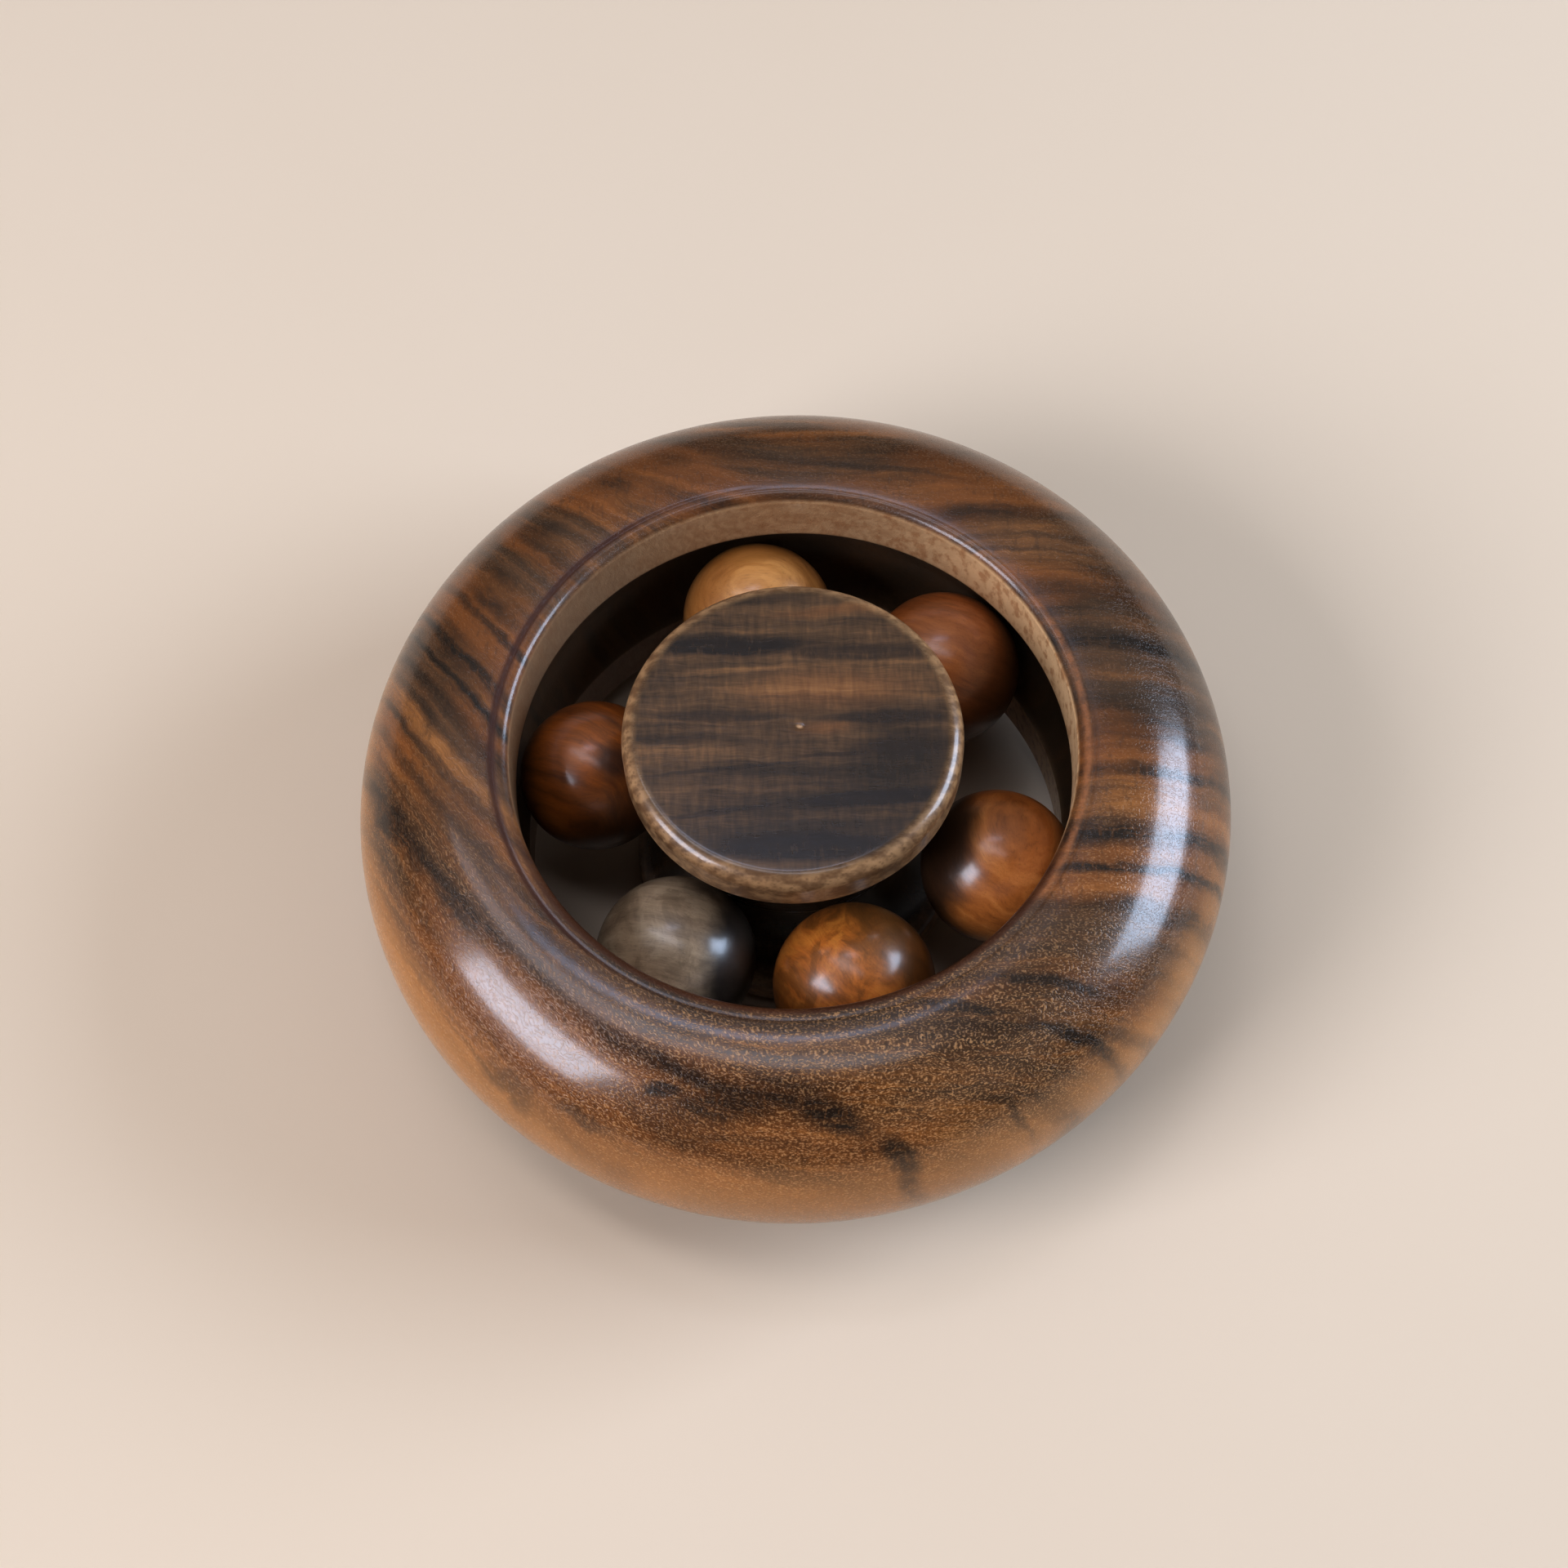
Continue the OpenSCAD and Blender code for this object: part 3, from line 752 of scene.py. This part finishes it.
for k, row in enumerate(BALLS):
    node = row[0]
    c, r = ball_place(row)
    o = ball_mesh(node + "_turned", c, r, 10 + k)
    give(o, ball_material(node + "_wood", c, **WOODS[node]))
    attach(o, node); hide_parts(node)



def volume(o):
    """Enclosed volume in cubic mm, negative when the faces look inwards."""
    total = 0.0
    V = [v.co for v in o.data.vertices]
    for f in o.data.polygons:
        a = V[f.vertices[0]]
        for i in range(1, len(f.vertices) - 1):
            total += a.dot(V[f.vertices[i]].cross(V[f.vertices[i + 1]])) / 6.0
    return total * 1e9


dowel = dowel_mesh()
for o in list(scene.objects):
    if o.name.endswith(("_turned", "_fluted")):
        assert volume(o) > 0.0, o.name + " is inside out"
q = Mat("dowel_wood")
x, y, z = q.sep(q.mm())
s = q.noise(q.stretch((x, y, z), (2.0, 2.0, 0.25)), 1.0, 3.0, 0.6)
give(dowel, q.finish(q.ramp(s, [(0.35, lin(150, 112, 74)), (0.6, lin(196, 158, 112))]), 0.6, s, bump_mm=0.02))
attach(dowel, "hub"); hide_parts("hub_dowel")

# ---------------------------------------------------------------- floor and light

def make_floor():
    me = bpy.data.meshes.new("floor")
    s = 3.0
    me.from_pydata([(-s, -s, -0.00002), (s, -s, -0.00002), (s, s, -0.00002), (-s, s, -0.00002)], [], [(0, 1, 2, 3)])
    o = bpy.data.objects.new("floor", me)
    scene.collection.objects.link(o)
    q = Mat("floor_pale")
    P = q.mm()
    n = q.noise(P, 0.02, 2.0)
    color = q.mix(q.span(n, 0.35, 0.65, 0.0, 0.12), lin(203, 185, 164), lin(199, 179, 155))
    o.data.materials.append(q.finish(color, 0.85, spec=0.2))


make_floor()


def area(name, az, el, dist, sx, sy, radiance, color=(1, 1, 1), aim=(0, 0, 0.0096), roll=0.0):
    a, e = math.radians(az), math.radians(el)
    d = Vector((math.cos(a) * math.cos(e), math.sin(a) * math.cos(e), math.sin(e)))
    L = bpy.data.lights.new(name, "AREA")
    L.shape = "RECTANGLE"
    L.size, L.size_y = sx, sy
    L.energy = radiance * math.pi * sx * sy
    L.color = color
    o = bpy.data.objects.new(name, L)
    o.location = Vector(aim) + d * dist
    o.rotation_mode = "QUATERNION"
    o.rotation_quaternion = d.to_track_quat("Z", "Y") @ Quaternion((0, 0, 1), math.radians(roll))
    scene.collection.objects.link(o)
    return o


area("key_left_front", 206, 34, 0.50, 0.27, 0.22, 15.0, (0.79, 0.85, 1.0))
area("window_right", 8, 25, 0.50, 0.32, 0.24, 15.0, (0.64, 0.78, 1.0))


def overhead(name, x, y, sx, sy, radiance, color, turn):
    """A softbox that hangs level, 0.6 m above the floor."""
    L = bpy.data.lights.new(name, "AREA")
    L.shape = "ELLIPSE"
    L.size, L.size_y = sx, sy
    L.energy = radiance * math.pi * (math.pi / 4 * sx * sy)
    L.color = color
    o = bpy.data.objects.new(name, L)
    o.location = (x, y, 0.60)
    o.rotation_euler = (0, 0, math.radians(turn))
    scene.collection.objects.link(o)


overhead("overhead_strip", -0.15, 0.06, 0.68, 0.11, 4.3, (0.80, 0.86, 1.0), -31)
overhead("overhead_core", -0.16, 0.04, 0.17, 0.13, 5.5, (0.88, 0.91, 1.0), -31)
overhead("overhead_far", -0.05, 0.186, 0.23, 0.064, 8.2, (0.62, 0.72, 1.0), 0)

# the dome is dim: brighter high up, warmer low down, and dimmest on the side the camera is on
world = bpy.data.worlds.new("studio")
scene.world = world
world.use_nodes = True
wn, wl = world.node_tree.nodes, world.node_tree.links
bg = next(n for n in wn if n.type == "BACKGROUND")
way = wn.new("ShaderNodeTexCoord")


def dome(direction, lo, hi, at_lo, at_hi):
    d = wn.new("ShaderNodeVectorMath")
    d.operation = "DOT_PRODUCT"
    d.inputs[1].default_value = direction
    wl.new(way.outputs["Generated"], d.inputs[0])
    r = wn.new("ShaderNodeMapRange")
    r.interpolation_type = "SMOOTHSTEP"
    for k, v in enumerate((lo, hi, at_lo, at_hi)):
        r.inputs[k + 1].default_value = v
    wl.new(d.outputs["Value"], r.inputs[0])
    return r.outputs[0]


behind = math.radians(64)
both = wn.new("ShaderNodeMath")
both.operation = "MULTIPLY"
wl.new(dome((0.0, -math.cos(behind), math.sin(behind)), math.cos(math.radians(42)), math.cos(math.radians(14)), 1.0, 0.02), both.inputs[0])
wl.new(dome((0.0, 0.0, 1.0), math.sin(math.radians(10)), math.sin(math.radians(48)), 0.17, 0.50), both.inputs[1])
wl.new(both.outputs[0], bg.inputs[1])
tint = wn.new("ShaderNodeMix")
tint.data_type = "RGBA"
wl.new(dome((0.0, 0.0, 1.0), 0.1, 0.8, 0.0, 1.0), tint.inputs[0])
tint.inputs[6].default_value = (1.0, 0.85, 0.68, 1.0)
tint.inputs[7].default_value = (1.0, 0.94, 0.86, 1.0)
wl.new(tint.outputs[2], bg.inputs[0])

scene.view_settings.view_transform = "Standard"
scene.view_settings.look = "None"
scene.view_settings.gamma = 0.82          # the photograph's contrast
